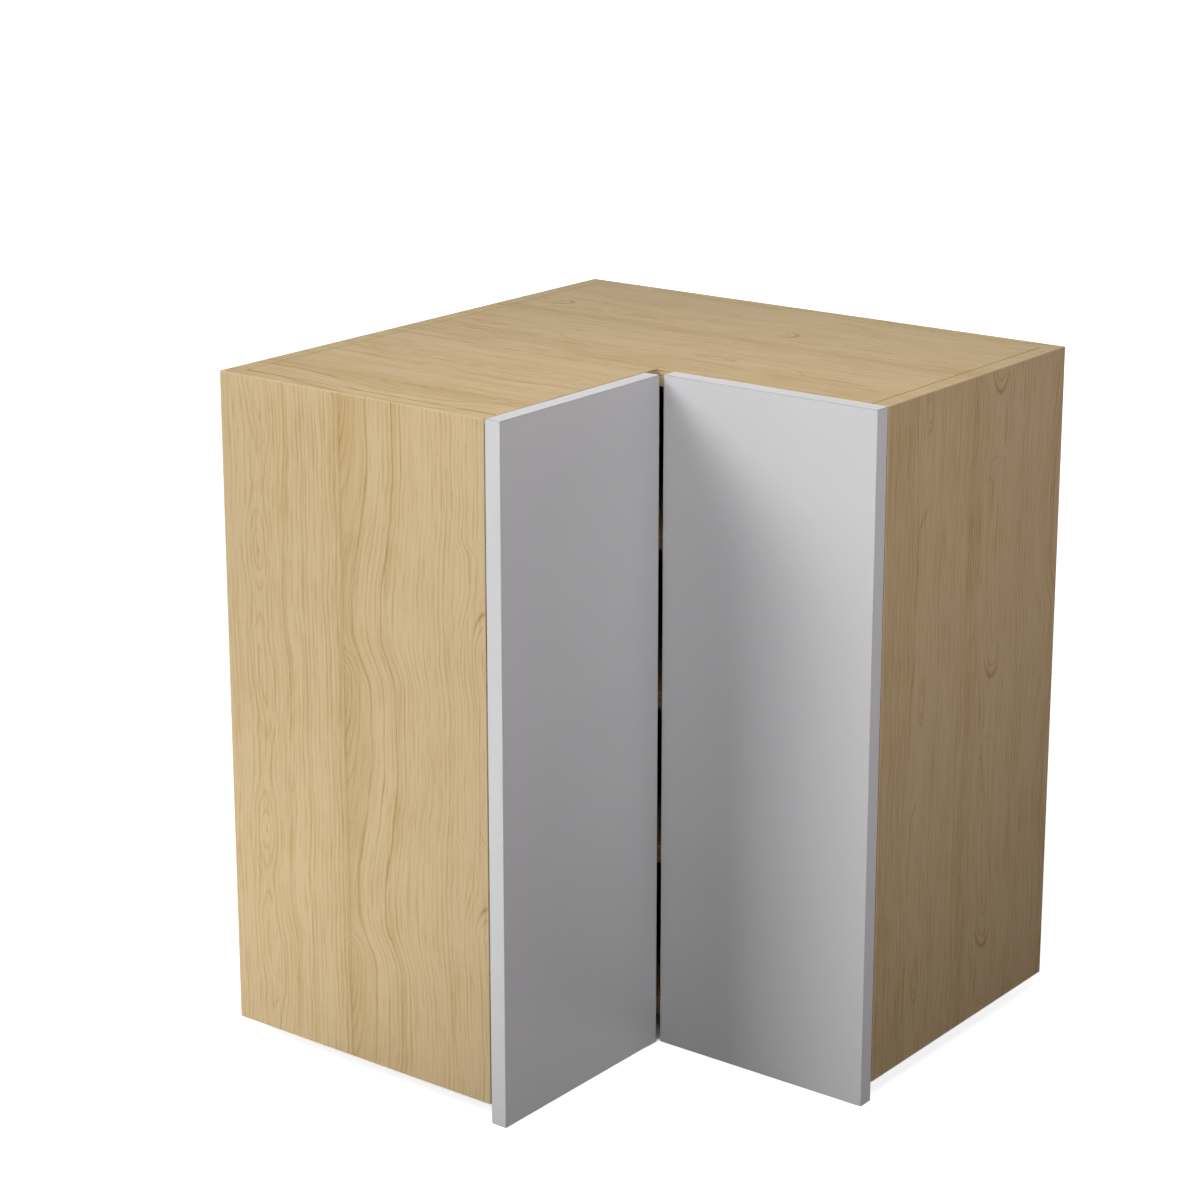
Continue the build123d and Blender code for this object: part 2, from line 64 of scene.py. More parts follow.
# Floor, in metres: half a millimetre below the doors' lower edges. To soft light it has painted shade,
# dark around a spot beside the cabinet and pale further off
FLOOR_LEVEL = -0.0205
FLOOR_REACH = 40.0
PAINTED_SHADE_SPOT = (0.90, -0.45, FLOOR_LEVEL)
DARK_FROM, DARK_TO = 0.60, 1.20
DARK_SHADE, PALE_SHADE = 0.02, 0.80

# What the camera sees of the floor: its own glow, full white far off, and none on a strip behind the gap
# between the doors, which paints a shadow there
FLOOR_GLOW = 0.82
FLOOR_MIDDLE = (0.0, 0.0, 0.0)
GLOW_FROM, GLOW_TO = 1.0, 3.0
GAP_SHADE_LENGTH, GAP_SHADE_SIDE = 0.085, 0.020
GAP_SHADE_SOFT = 0.004

# Boards: colours of the print, matt foil, and edges in metres that are darker on flat boards, a painted
# shade, and paler on upright ones, a painted highlight
WOOD_PALE = (0.632, 0.483, 0.283)
WOOD_DARK = (0.375, 0.222, 0.055)
WOOD_CONTRAST = 2.2
WOOD_ROUGHNESS, FIBRE_ROUGHNESS = 0.70, 0.05
WOOD_GLOSS = 0.05
WOOD_RELIEF = 0.00004
PAINTED_EDGE_WIDTH = 0.0024
SEAM_PAINTED_SHADE, EDGE_PAINTED_HIGHLIGHT = 0.9, 0.35

# The print, in millimetres: a sheet that repeats across and along the grain, where it starts on
# the boards, the join of its two halves and the waving lines past it. A face looks along an axis
# where its normal holds more than this share of it
MM_IN_METRE = 1000.0
FACES_THIS_WAY = 0.7
SHEET_ACROSS, SHEET_ALONG = 600.0, 300.0
SHEET_X_START, SHEET_Z_START = 386.0, 142.0
SHEET_JOIN = 545.0
FIRST_LINE = 580.0
LINE_SPACING = 5.6

# How far the lines sway to one side, and over which heights of the sheet. A list holds places
# across the sheet, each with its value
SWAY_BEGINS, SWAY_FULL, SWAY_EASES, SWAY_ENDS = -40.0, 22.0, 40.0, 198.0
SWAY_MOST = 25.0
SWAY_REACH = [
    (0, 17), (29, 12), (60, 8), (87, 5), (150, 4), (200, 3), (440, 3), (470, 7), (490, 1),
    (544.9, 1), (545, 23), (600, 18)]
SLOW_WANDER, QUICK_WANDER = 7.0, 2.4

# Soft noises: how wide and how high their clouds are, and a layer that sets each apart
NOISES = {
    "slow_wander": (60.0, 75.0, 3.0), "quick_wander": (15.0, 50.0, 8.0), "patches": (12.0, 45.0, 5.0),
    "long_fibre": (2.0, 110.0, 2.0), "short_fibre": (1.0, 30.0, 1.0), "fleck": (0.9, 7.0, 4.0),
    "shade": (45.0, 90.0, 6.0)}

# Figures of the print, each up to where the next one takes over across the sheet. Below, a span
# holds its start, its end and how softly both come, and a rise or a fall where it starts and ends
WAVES_END, ARCHES_END, SMALL_EYE_END = 88.0, 200.0, 351.0

# Long eye: its heart's place and depth, then the middle, reach and fullness of its two ovals.
# The upper oval leans about a middle of its own and is plain on one side, and the lines are
# tighter away from the heart
LONG_EYE_HEART, LONG_EYE_DEPTH = 434.0, 16.0
LONG_EYE_OVALS = [(80.0, 50.0, 0.96), (247.0, 80.0, 0.92)]
LEANING_SPAN = (195.0, 295.0, 14.0)
LEAN, LEAN_MIDDLE, LEAN_REACH = 0.14, 253.0, 20.0
PLAIN_SHARE, PLAIN_RISE, PLAIN_FALL = 0.7, (-1.0, 2.0), (9.0, 14.0)
TIGHT_LINES, TIGHT_REACH = 1.2, 8.0

# Arches: their heart, the depth that opens them and the stroke and shade drawn at their tip
ARCH_HEART, ARCH_DEPTH, ARCH_SPACING = 133.0, 24.0, 4.6
ARCH_RISE, ARCH_FALL = (10.0, 92.0), (118.0, 150.0)
ARCH_TIP_SPAN, ARCH_TIP_RING, ARCH_TIP_PEN = (50.0, 84.0, 16.0), 19.0, 1.1
TIP_SHADE, TIP_SHADE_REACH = 0.35, 5.0

# Small eye, and the ring drawn in it
SMALL_EYE_HEART, SMALL_EYE_DEPTH, SMALL_EYE_SPACING = 268.0, 9.0, 4.2
SMALL_EYE_MIDDLE, SMALL_EYE_REACH = 60.0, 26.0
SMALL_EYE_SPAN, SMALL_EYE_RING, SMALL_EYE_PEN = (36.0, 88.0, 10.0), 6.5, 0.9

# Other drawn strokes: a hook with two bends, a small arch and a bow
STROKE_PEN = 1.5
HOOK_PLACE, HOOK_SPAN = 264.0, (158.0, 262.0, 14.0)
HOOK_BENDS = [((152.0, 183.0), 17.0), ((183.0, 286.0), 3.0)]
SMALL_ARCH_PLACE, SMALL_ARCH_SPAN = 151.0, (150.0, 194.0, 6.0)
SMALL_ARCH_RISE, SMALL_ARCH_BEND = (147.0, 160.0), 10.0
BOW_PLACE, BOW_SPAN, BOW_BEND = 284.0, (25.0, 110.0, 30.0), 6.0
BOW_DARK_SPAN, BOW_PALE, BOW_DARKER = (10.0, 100.0, 30.0), 0.3, 0.5

# Crescents beside the join: how many lines, their place and width, and their middle and reaches
CRESCENT_LINES, CRESCENT_PLACE, CRESCENT_WIDTH = 5.0, 541.0, 19.0
CRESCENT_MIDDLE, CRESCENT_ABOVE, CRESCENT_BELOW = 268.0, 24.0, 88.0

# Single lines: the faintest one's strength, how much faint ones prevail, their widths in parts of
# the spacing, and the strength and width of their sharp side. Keys for chance differ by figure
FAINTEST, FAINT_FAVOUR = 0.2, 1.3
FIRST_LINE_STRENGTH, FIRST_LINE_REACH = 0.55, 0.01
LINE_WIDTH, LINE_WIDTH_MORE = 0.10, 0.16
SHARP_SIDE, SHARP_WIDTH = 0.7, 0.12
PATCH_LEAST, PATCH_MORE = 0.45, 1.1
FIGURE_KEY = 37.0

# Strength of the lines and the broad tones across the sheet, where 1 is plain, and the finest marks
LINES_MOST = 1.6
LINE_STRENGTH = [
    (0, 1.4), (35, 1.6), (86, 1.5), (100, 1.1), (160, 1.2), (182, 1.6), (250, 1.6), (275, 1.3),
    (340, 1.3), (370, 1.2), (385, 1.1), (450, 0.9), (500, 1.2), (582, 1.2), (600, 1.3)]
TONE_MOST = 2.0
TONES = [
    (0, 1.0), (8, 1.1), (15, 1.6), (24, 1.05), (78, 1.0), (83, 1.3), (90, 1.0), (100, 0.7), (108, 1.0),
    (160, 1.0), (178, 1.5), (190, 1.25), (202, 1.0), (284, 1.0), (300, 1.35), (345, 1.3), (358, 1.0),
    (361, 1.7), (365, 1.0), (385, 0.5), (390, 1.0), (468, 1.2), (473, 1.7), (478, 1.0), (492, 1.0),
    (494, 1.7), (497, 1.0), (524, 1.1), (527, 1.7), (530, 1.0), (538, 1.5), (600, 1.0)]
JOIN_PEN, FIRST_LINE_PEN = 0.7, 1.3
SMOOTH_FALL, SMOOTH_CALM = (570.0, 582.0), 0.4
FIBRE_STRENGTH, FLECK_RISE = 1.5, (0.60, 0.80)

# How dark each layer of the pattern is
DARKNESS = {
    "lines": 0.22, "tones": 0.17, "join": 0.18, "first_line": 0.22, "fibre": 0.26,
    "fleck": 0.08, "shade": 0.16, "smooth": 0.05, "strokes": 0.22}

# Doors: satin lacquer with faint clouds and orange peel, painted shade on the top face and a fine
# painted shade line along the top's edges. Widths and relief are in metres, and fineness is per metre
DOOR_DARK = (0.628, 0.623, 0.634)
DOOR_PALE = (0.652, 0.647, 0.658)
DOOR_ROUGHNESS, CLOUD_ROUGHNESS = 0.40, 0.10
DOOR_GLOSS = 0.30
DOOR_TOP_SHADE = (0.50, 0.497, 0.506)
DOOR_TOP_SHADE_SKIN = 0.0003
DOOR_EDGE_SHADE = (0.40, 0.395, 0.405)
DOOR_EDGE_SHADE_SHARE = 0.8
DOOR_EDGE_SHADE_WIDTH = 0.0014
CLOUD_FINE, CLOUD_SHARE = 9.0, 1.2
PEEL_FINE, PEEL_SHARE = 700.0, 0.25
PEEL_RELIEF = 0.00002

# Metals: darkest and palest colour, roughness, how fine the rolling marks are and how strong
METALS = {
    "hinge_nickel": dict(
        dark=(0.50, 0.48, 0.45), pale=(0.72, 0.70, 0.66), roughness=0.30, fineness=1.0, marking=1.0),
    "fastener_steel": dict(
        dark=(0.50, 0.50, 0.50), pale=(0.72, 0.72, 0.71), roughness=0.34, fineness=1.5, marking=0.5),
    "support_steel": dict(
        dark=(0.48, 0.48, 0.48), pale=(0.70, 0.70, 0.70), roughness=0.32, fineness=1.2, marking=0.6),
    "cam_zinc": dict(
        dark=(0.36, 0.36, 0.37), pale=(0.58, 0.58, 0.59), roughness=0.48, fineness=2.0, marking=0.3),
}
METAL_RELIEF = 0.00002

# Marks on metal. A metal without any has this share of its pale colour and is this much smoother
# than its roughness, and each mark adds to both. Fineness is per metre
UNMARKED_PALE, PALE_MARKS = 0.2, {"Cloudy": 0.6, "Lines": 0.3}
UNMARKED_SMOOTHER, ROUGH_MARKS = 0.12, {"Cloudy": 0.2, "Lines": 0.08, "Scratches": 0.15}
PLATING_FINE = 140.0
ROLLING_LONG, ROLLING_FINE = 160.0, 5200.0
SCRATCH_LONG, SCRATCH_FINE = 300.0, 4000.0
SCRATCH_RISE = (0.68, 0.80)

# Dowels and bumpers: colours, roughness, and how fine their marks are, per metre
BEECH_PALE, BEECH_DARK = (0.66, 0.47, 0.29), (0.40, 0.23, 0.11)
BEECH_ROUGHNESS, BEECH_RELIEF = 0.6, 0.0001
BEECH_FLECK_WIDE, BEECH_FLECK_HIGH, BEECH_FLECK_RISE = 300.0, 2400.0, (0.55, 0.75)
BEECH_CLOUD_FINE = 120.0
BUMPER_DARK, BUMPER_PALE = (0.70, 0.70, 0.68), (0.80, 0.80, 0.78)
BUMPER_ROUGHNESS, BUMPER_CLOUD_ROUGHNESS = 0.25, 0.2
BUMPER_CLOUD_FINE = 500.0

# The other wood boards lie flat
UPRIGHT_BOARDS = ("right_back_panel", "left_back_panel", "right_end_panel", "left_end_panel")


class Wire:
    """A value in a node tree that can be added, multiplied and compared like a number."""

    def __init__(self, tree, socket):
        self.tree = tree
        self.socket = socket

    def math(self, operation, *terms):
        node = self.tree.nodes.new("ShaderNodeMath")
        node.operation = operation
        for place, term in enumerate((self,) + terms):
            if isinstance(term, Wire):
                self.tree.links.new(term.socket, node.inputs[place])
            else:
                node.inputs[place].default_value = term
        return Wire(self.tree, node.outputs[0])

    def __add__(self, other):
        return self.math("ADD", other)

    def __radd__(self, other):
        return self.math("ADD", other)

    def __sub__(self, other):
        return self.math("SUBTRACT", other)

    def __rsub__(self, other):
        return self.math("MULTIPLY_ADD", -1.0, other)

    def __mul__(self, other):
        return self.math("MULTIPLY", other)

    def __rmul__(self, other):
        return self.math("MULTIPLY", other)

    def __truediv__(self, other):
        return self.math("DIVIDE", other)

    def __neg__(self):
        return self.math("MULTIPLY", -1.0)

    def least(self, other):
        return self.math("MINIMUM", other)

    def most(self, other):
        return self.math("MAXIMUM", other)

    def size(self):
        return self.math("ABSOLUTE")

    def root(self):
        return self.math("SQRT")

    def square(self):
        return self * self

    def fade(self):
        """e to the power of minus this value: 1 at zero, less further off."""
        return (-self).math("EXPONENT")

    def above(self, limit):
        return self.math("GREATER_THAN", limit)

    def whole(self):
        return self.math("FLOOR")

    def wrapped(self, low, high):
        return self.math("WRAP", high, low)

    def rise(self, start, end, low=0.0, high=1.0):
        """A smooth step from low at start to high at end."""
        node = self.tree.nodes.new("ShaderNodeMapRange")
        node.interpolation_type = "SMOOTHSTEP"
        self.tree.links.new(self.socket, node.inputs["Value"])
        for name, value in (("From Min", start), ("From Max", end), ("To Min", low), ("To Max", high)):
            node.inputs[name].default_value = value
        return Wire(self.tree, node.outputs["Result"])

    def fall(self, start, end):
        """A smooth step from 1 at start to 0 at end."""
        return self.rise(start, end, 1.0, 0.0)

    def between(self, start, end, soft):
        """1 from start to end, with soft sides, and 0 elsewhere."""
        return self.rise(start - soft, start + soft) * self.fall(end - soft, end + soft)

    def steps(self, span, peak, points):
        """Straight pieces through points of (place, value), for places from 0 to span."""
        node = self.tree.nodes.new("ShaderNodeValToRGB")
        ramp = node.color_ramp
        for place, value in points[1:-1]:
            ramp.elements.new(place / span)
        for element, (place, value) in zip(ramp.elements, points):
            element.position = place / span
            element.color = (value / peak,) * 3 + (1.0,)
        self.tree.links.new((self / span).socket, node.inputs["Fac"])
        return Wire(self.tree, node.outputs["Color"]) * peak

    def chance(self):
        """A random number from 0 to 1 for each whole number."""
        node = self.tree.nodes.new("ShaderNodeTexWhiteNoise")
        node.noise_dimensions = "1D"
        self.tree.links.new(self.socket, node.inputs["W"])
        return Wire(self.tree, node.outputs["Value"])


def joined(tree, x, y, z):
    """One vector from three values or numbers."""
    node = tree.nodes.new("ShaderNodeCombineXYZ")
    for place, term in enumerate((x, y, z)):
        if isinstance(term, Wire):
            tree.links.new(term.socket, node.inputs[place])
        else:
            node.inputs[place].default_value = term
    return Wire(tree, node.outputs[0])


def split_vector(tree, place):
    """The three values of a vector."""
    node = tree.nodes.new("ShaderNodeSeparateXYZ")
    tree.links.new(place.socket, node.inputs[0])
    return [Wire(tree, socket) for socket in node.outputs]


def cloud(tree, place, scale=1.0, detail=1.0, roughness=0.5):
    """Soft noise from 0 to 1 at a place."""
    node = tree.nodes.new("ShaderNodeTexNoise")
    node.inputs["Scale"].default_value = scale
    node.inputs["Detail"].default_value = detail
    node.inputs["Roughness"].default_value = roughness
    tree.links.new(place.socket, node.inputs["Vector"])
    return Wire(tree, node.outputs["Fac"])


def blend(tree, share, first, second):
    """A colour between two colours."""
    node = tree.nodes.new("ShaderNodeMix")
    node.data_type = "RGBA"
    tree.links.new(share.socket, node.inputs["Factor"])
    for name, colour in (("A", first), ("B", second)):
        socket = [entry for entry in node.inputs if entry.name == name and entry.type == "RGBA"][0]
        if isinstance(colour, Wire):
            tree.links.new(colour.socket, socket)
        else:
            socket.default_value = (*colour, 1.0)
    result = [entry for entry in node.outputs if entry.type == "RGBA"][0]
    return Wire(tree, result)


def mix_shaders(tree, share, first, second):
    """The first shader where the share is 0 and the second where it is 1."""
    node = tree.nodes.new("ShaderNodeMixShader")
    tree.links.new(share.socket, node.inputs["Fac"])
    tree.links.new(first, node.inputs[1])
    tree.links.new(second, node.inputs[2])
    return node.outputs[0]


def new_group(name, inputs, outputs):
    """An empty shader node group with named sockets, and the wires of its inputs."""
    tree = bpy.data.node_groups.new(name, "ShaderNodeTree")
    for title, (kind, value) in inputs.items():
        socket = tree.interface.new_socket(title, in_out="INPUT", socket_type=kind)
        if value is not None:
            socket.default_value = value
    for title, kind in outputs.items():
        tree.interface.new_socket(title, in_out="OUTPUT", socket_type=kind)
    start = tree.nodes.new("NodeGroupInput")
    return tree, {title: Wire(tree, start.outputs[title]) for title in inputs}


def put_out(tree, results):
    end = tree.nodes.new("NodeGroupOutput")
    for title, wire in results.items():
        tree.links.new(wire.socket, end.inputs[title])


def use_group(tree, group, values):
    """Places a group in a tree, with values or wires on its inputs, and gives its outputs."""
    node = tree.nodes.new("ShaderNodeGroup")
    node.node_tree = group
    for title, value in values.items():
        if isinstance(value, Wire):
            tree.links.new(value.socket, node.inputs[title])
        else:
            node.inputs[title].default_value = value
    return {entry.name: Wire(tree, entry) for entry in node.outputs}


NUMBER = "NodeSocketFloat"
VECTOR = "NodeSocketVector"


def make_sheet_place():
    """Group: where a point of a board lies on the printed sheet, across and along the grain.

    The face's normal picks the plane. Level faces use -y across and x along. Upright faces
    have the grain upright on upright boards, and level on the edges of flat boards.
    """
    tree, given = new_group(
        "sheet_place",
        {"Place": (VECTOR, None), "Normal": (VECTOR, None), "Flat Board": (NUMBER, 0.0)},
        {"Across": NUMBER, "Along": NUMBER})
    x, y, z = (value * MM_IN_METRE for value in split_vector(tree, given["Place"]))
    normal = split_vector(tree, given["Normal"])
    faces_x, faces_y = (value.size().above(FACES_THIS_WAY) for value in normal[:2])
    level = 1.0 - faces_x.most(faces_y)
    flat = given["Flat Board"]
    upright = 1.0 - flat
    across = level * -y
    across = across + faces_x * (upright * -y + flat * (z + SHEET_Z_START))
    across = across + faces_y * (upright * (x + SHEET_X_START) + flat * (z + SHEET_Z_START))
    along = level * x
    along = along + faces_x * (upright * (SHEET_Z_START - z) + flat * -y)
    along = along + faces_y * (upright * (z - SHEET_Z_START) + flat * x)
    put_out(tree, {"Across": across, "Along": along})
    return tree


def make_eye_shape():
    """Group: 1 at a height on the sheet and less above and below it, by a bell curve."""
    tree, given = new_group(
        "eye_shape",
        {"Along": (NUMBER, 0.0), "Middle": (NUMBER, 0.0),
         "Above": (NUMBER, 40.0), "Below": (NUMBER, 40.0)},
        {"Amount": NUMBER})
    off = (given["Along"] - given["Middle"]).wrapped(-SHEET_ALONG / 2, SHEET_ALONG / 2)
    high = off.above(0.0)
    reach = high * given["Above"] + (1.0 - high) * given["Below"]
    put_out(tree, {"Amount": (off / reach).square().fade()})
    return tree


def make_printed_wood(eye_shape):
    """Group: the printed grain. Growth lines are the whole numbers of a ring value.

    Past the join of the sheet the ring value is the distance past a waving first line.
    Elsewhere it is the distance to the nearest of three hearts, the root of the distance
    across squared plus a depth squared, where the depth closes the rings into eyes and arches.
    """
    tree, given = new_group(
        "printed_wood",
        {"Across": (NUMBER, 0.0), "Along": (NUMBER, 0.0), "Contrast": (NUMBER, 1.0)},
        {"Dark": NUMBER, "Fibre": NUMBER})
    free_across, free_along = given["Across"], given["Along"]
    across = free_across.wrapped(0.0, SHEET_ACROSS)
    along = free_along.wrapped(0.0, SHEET_ALONG)

    def eye(middle, above, below):
        values = {"Along": along, "Middle": middle, "Above": above, "Below": below}
        return use_group(tree, eye_shape, values)["Amount"]

    def noise(name, place=free_across):
        wide, high, layer = NOISES[name]
        return cloud(tree, joined(tree, place / wide, free_along / high, layer))

    def pen(off, width):
        """1 on a drawn line and less beside it."""
        return (off.size() / width).fade()

    def strength_of(key):
        return FAINTEST + (1.0 - FAINTEST) * key.chance().math("POWER", FAINT_FAVOUR)

    # The lines sway to one side once in every length of the sheet
    early = along.wrapped(SWAY_BEGINS, SHEET_ALONG + SWAY_BEGINS)
    sway = early.fall(SWAY_EASES, SWAY_ENDS).least(early.rise(SWAY_BEGINS, SWAY_FULL))
    reach = across.steps(SHEET_ACROSS, SWAY_MOST, SWAY_REACH)
    wander = SLOW_WANDER * (noise("slow_wander") - 0.5) + QUICK_WANDER * (noise("quick_wander") - 0.5)
    swayed = across + reach * sway + wander

    # Three hearts: a long eye, arches and a small eye
    low_oval, high_oval = (eye(middle, far, far) * full for middle, far, full in LONG_EYE_OVALS)
    leaning = along.between(*LEANING_SPAN)
    nearby = ((swayed - LONG_EYE_HEART) / LEAN_REACH).square().fade()
    off_heart = swayed - (LONG_EYE_HEART - LEAN * (along - LEAN_MIDDLE) * leaning * nearby)
    heart_ring = (off_heart.square() + LONG_EYE_DEPTH ** 2 * (1.0 - low_oval.most(high_oval))).root()
    plain_side = off_heart.rise(*PLAIN_RISE) * off_heart.fall(*PLAIN_FALL) * leaning
    arch_depth = along.rise(*ARCH_RISE) * along.fall(*ARCH_FALL) * ARCH_DEPTH
    arch_ring = ((swayed - ARCH_HEART).square() + arch_depth.square()).root()
    small_depth = SMALL_EYE_DEPTH ** 2 * (1.0 - eye(SMALL_EYE_MIDDLE, SMALL_EYE_REACH, SMALL_EYE_REACH))
    small_ring = ((swayed - SMALL_EYE_HEART).square() + small_depth).root()
    nearest = (heart_ring / LINE_SPACING).least(arch_ring / ARCH_SPACING)
    nearest = nearest.least(small_ring / SMALL_EYE_SPACING)

    # Where each figure lies
    before_arch = 1.0 - across.above(WAVES_END)
    after_arch = across.above(ARCHES_END)
    after_small = across.above(SMALL_EYE_END)
    past_join = across.above(SHEET_JOIN)
    waving = past_join.most(before_arch)
    hearts = 1.0 - waving

    # Past the join: smooth wood, crescents, then the waving lines
    unrolled = swayed + SHEET_ACROSS * (1.0 - past_join)
    beyond = (unrolled - FIRST_LINE).most(0.0) / LINE_SPACING
    crescents = CRESCENT_LINES * ((across - CRESCENT_PLACE) / CRESCENT_WIDTH).square().fade()
    crescents = crescents * eye(CRESCENT_MIDDLE, CRESCENT_ABOVE, CRESCENT_BELOW) * past_join
    tight = TIGHT_LINES * (1.0 - (heart_ring / TIGHT_REACH).fade()) * after_small
    rings = waving * (beyond + crescents) + hearts * (nearest + tight)

    # Each line darkens slowly and ends sharply, and each has its own strength
    number = rings.whole()
    part = rings - number
    key = number + FIGURE_KEY * (after_arch + after_small + past_join + 3.0 * before_arch)
    before_first = past_join * (1.0 - beyond.above(FIRST_LINE_REACH))
    strength = strength_of(key).most(FIRST_LINE_STRENGTH * before_first)
    width = LINE_WIDTH + LINE_WIDTH_MORE * (key + 0.5).chance()
    slow_side = strength * ((1.0 - part) / width).fade()
    sharp_side = SHARP_SIDE * strength_of(key - 1.0) * (part / SHARP_WIDTH).fade()
    patchy = PATCH_LEAST + PATCH_MORE * noise("patches", swayed)
    lines = slow_side.most(sharp_side) * across.steps(SHEET_ACROSS, LINES_MOST, LINE_STRENGTH)
    lines = lines * patchy * (1.0 - PLAIN_SHARE * plain_side)

    # Drawn strokes
    near_tip = along.between(*ARCH_TIP_SPAN)
    past_tip = ARCH_TIP_RING - arch_ring
    tip = pen(past_tip, ARCH_TIP_PEN) * near_tip
    inside_tip = (past_tip.most(0.0) / TIP_SHADE_REACH).fade() * past_tip.above(0.0) * near_tip
    hook_line = HOOK_PLACE + sum(along.rise(*bend) * far for bend, far in HOOK_BENDS)
    hook = pen(swayed - hook_line, STROKE_PEN) * along.between(*HOOK_SPAN)
    arch_line = SMALL_ARCH_PLACE - along.rise(*SMALL_ARCH_RISE) * SMALL_ARCH_BEND
    small_arch = pen(swayed - arch_line, STROKE_PEN) * along.between(*SMALL_ARCH_SPAN)
    small_eye = pen(small_ring - SMALL_EYE_RING, SMALL_EYE_PEN) * along.between(*SMALL_EYE_SPAN)
    bow_line = BOW_PLACE + BOW_BEND * along.between(*BOW_SPAN)
    bow = pen(swayed - bow_line, STROKE_PEN) * (BOW_PALE + BOW_DARKER * along.between(*BOW_DARK_SPAN))
    strokes = tip.most(hook).most(small_arch).most(small_eye).most(bow) + TIP_SHADE * inside_tip

    # All layers together
    smooth = across.rise(SHEET_JOIN, SHEET_JOIN + 1.0) * swayed.fall(*SMOOTH_FALL)
    fibre = FIBRE_STRENGTH * (noise("long_fibre", swayed) + noise("short_fibre", swayed) - 1.0)
    fleck = noise("fleck", swayed).rise(*FLECK_RISE)
    layers = {
        "lines": lines,
        "tones": swayed.wrapped(0.0, SHEET_ACROSS).steps(SHEET_ACROSS, TONE_MOST, TONES) - 1.0,
        "join": pen(across - (SHEET_JOIN + 0.5), JOIN_PEN),
        "first_line": pen(unrolled - FIRST_LINE, FIRST_LINE_PEN) * waving,
        "fibre": fibre * (1.0 - SMOOTH_CALM * smooth),
        "fleck": fleck,
        "shade": noise("shade") - 0.5,
        "smooth": smooth,
        "strokes": strokes * hearts * (1.0 - after_small),
    }
    dark = sum(DARKNESS[name] * layer for name, layer in layers.items())
    put_out(tree, {"Dark": dark * given["Contrast"], "Fibre": fibre + fleck - lines})
    return tree


def make_box_edges():
    """Group: 1 on the edges of a box and 0 away from them.

    On a box's surface the least distance to its faces is 0, and the second least is the
    distance to the nearest edge.
    """
    tree, given = new_group(
        "box_edges",
        {"Place": (VECTOR, None), "Low": (VECTOR, None), "High": (VECTOR, None),
         "Width": (NUMBER, 0.001)},
        {"Edge": NUMBER})
    sides = [split_vector(tree, given[title]) for title in ("Place", "Low", "High")]
    x, y, z = ((place - low).least(high - place) for place, low, high in zip(*sides))
    second = x.most(y).least(z).most(x.least(y))
    ratio = second / given["Width"]
    put_out(tree, {"Edge": ratio.fall(0.0, 1.0)})
    return tree


def make_metal_marks():
    """Group: rolling lines, cloudy plating and small scratches of a metal part."""
    tree, given = new_group(
        "metal_marks",
        {"Place": (VECTOR, None), "Line Scale": (NUMBER, 1.0), "Amount": (NUMBER, 1.0)},
        {"Cloudy": NUMBER, "Lines": NUMBER, "Scratches": NUMBER})
    x, y, z = (value * given["Line Scale"] for value in split_vector(tree, given["Place"]))
    even = joined(tree, x * PLATING_FINE, y * PLATING_FINE, z * PLATING_FINE)
    level = joined(tree, x * ROLLING_LONG, y * ROLLING_LONG, z * ROLLING_FINE)
    slanted = joined(tree, (x + z) * SCRATCH_LONG, (y + z) * SCRATCH_LONG, (x + y - z) * SCRATCH_FINE)
    cloudy = cloud(tree, even, detail=3.0)
    lines = cloud(tree, level)
    scratches = cloud(tree, slanted, detail=0.0).rise(*SCRATCH_RISE)
    amount = given["Amount"]
    put_out(tree, {"Cloudy": cloudy, "Lines": lines * amount, "Scratches": scratches * amount})
    return tree


def new_finish(name, roughness, metallic=0.0, gloss=0.5):
    """A material with its shader, and the wire of the object's own place."""
    material = bpy.data.materials.new(name)
    material.use_nodes = True
    tree = material.node_tree
    shader = tree.nodes["Principled BSDF"]
    shader.inputs["Roughness"].default_value = roughness
    shader.inputs["Metallic"].default_value = metallic
    shader.inputs["Specular IOR Level"].default_value = gloss
    where = tree.nodes.new("ShaderNodeTexCoord")
    return material, tree, shader, Wire(tree, where.outputs["Object"])


def set_bump(tree, shader, height, depth):
    """Small relief from a height value, in metres."""
    node = tree.nodes.new("ShaderNodeBump")
    node.inputs["Distance"].default_value = depth
    tree.links.new(height.socket, node.inputs["Height"])
    tree.links.new(node.outputs["Normal"], shader.inputs["Normal"])


def edges_of(tree, node, place, width):
    """1 on the edges of a node's box and 0 away from them."""
    low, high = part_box(node)
    box = {"Place": place, "Low": tuple(low), "High": tuple(high), "Width": width}
    return use_group(tree, box_edges, box)["Edge"]


def wood_finish(name, node, flat):
    """Printed board: matt foil with the wood pattern, a shallow pore relief, painted shade on the edges
    of flat boards and a painted highlight on the edges of upright ones.
    """
    material, tree, shader, place = new_finish(name, WOOD_ROUGHNESS, gloss=WOOD_GLOSS)
    normal = Wire(tree, tree.nodes.new("ShaderNodeTexCoord").outputs["Normal"])
    on_sheet = use_group(tree, sheet_place, {"Place": place, "Normal": normal, "Flat Board": flat})
    grain = use_group(tree, printed_wood, {**on_sheet, "Contrast": WOOD_CONTRAST})
    edge = edges_of(tree, node, place, PAINTED_EDGE_WIDTH)
    # Painted shade on the edges of flat boards and a painted highlight on the edges of upright ones
    dark = grain["Dark"] + (SEAM_PAINTED_SHADE * flat - EDGE_PAINTED_HIGHLIGHT * (1.0 - flat)) * edge
    colour = blend(tree, dark, WOOD_PALE, WOOD_DARK)
    tree.links.new(colour.socket, shader.inputs["Base Color"])
    rough = WOOD_ROUGHNESS + FIBRE_ROUGHNESS * grain["Fibre"]
    tree.links.new(rough.socket, shader.inputs["Roughness"])
    set_bump(tree, shader, grain["Fibre"], WOOD_RELIEF)
    return material


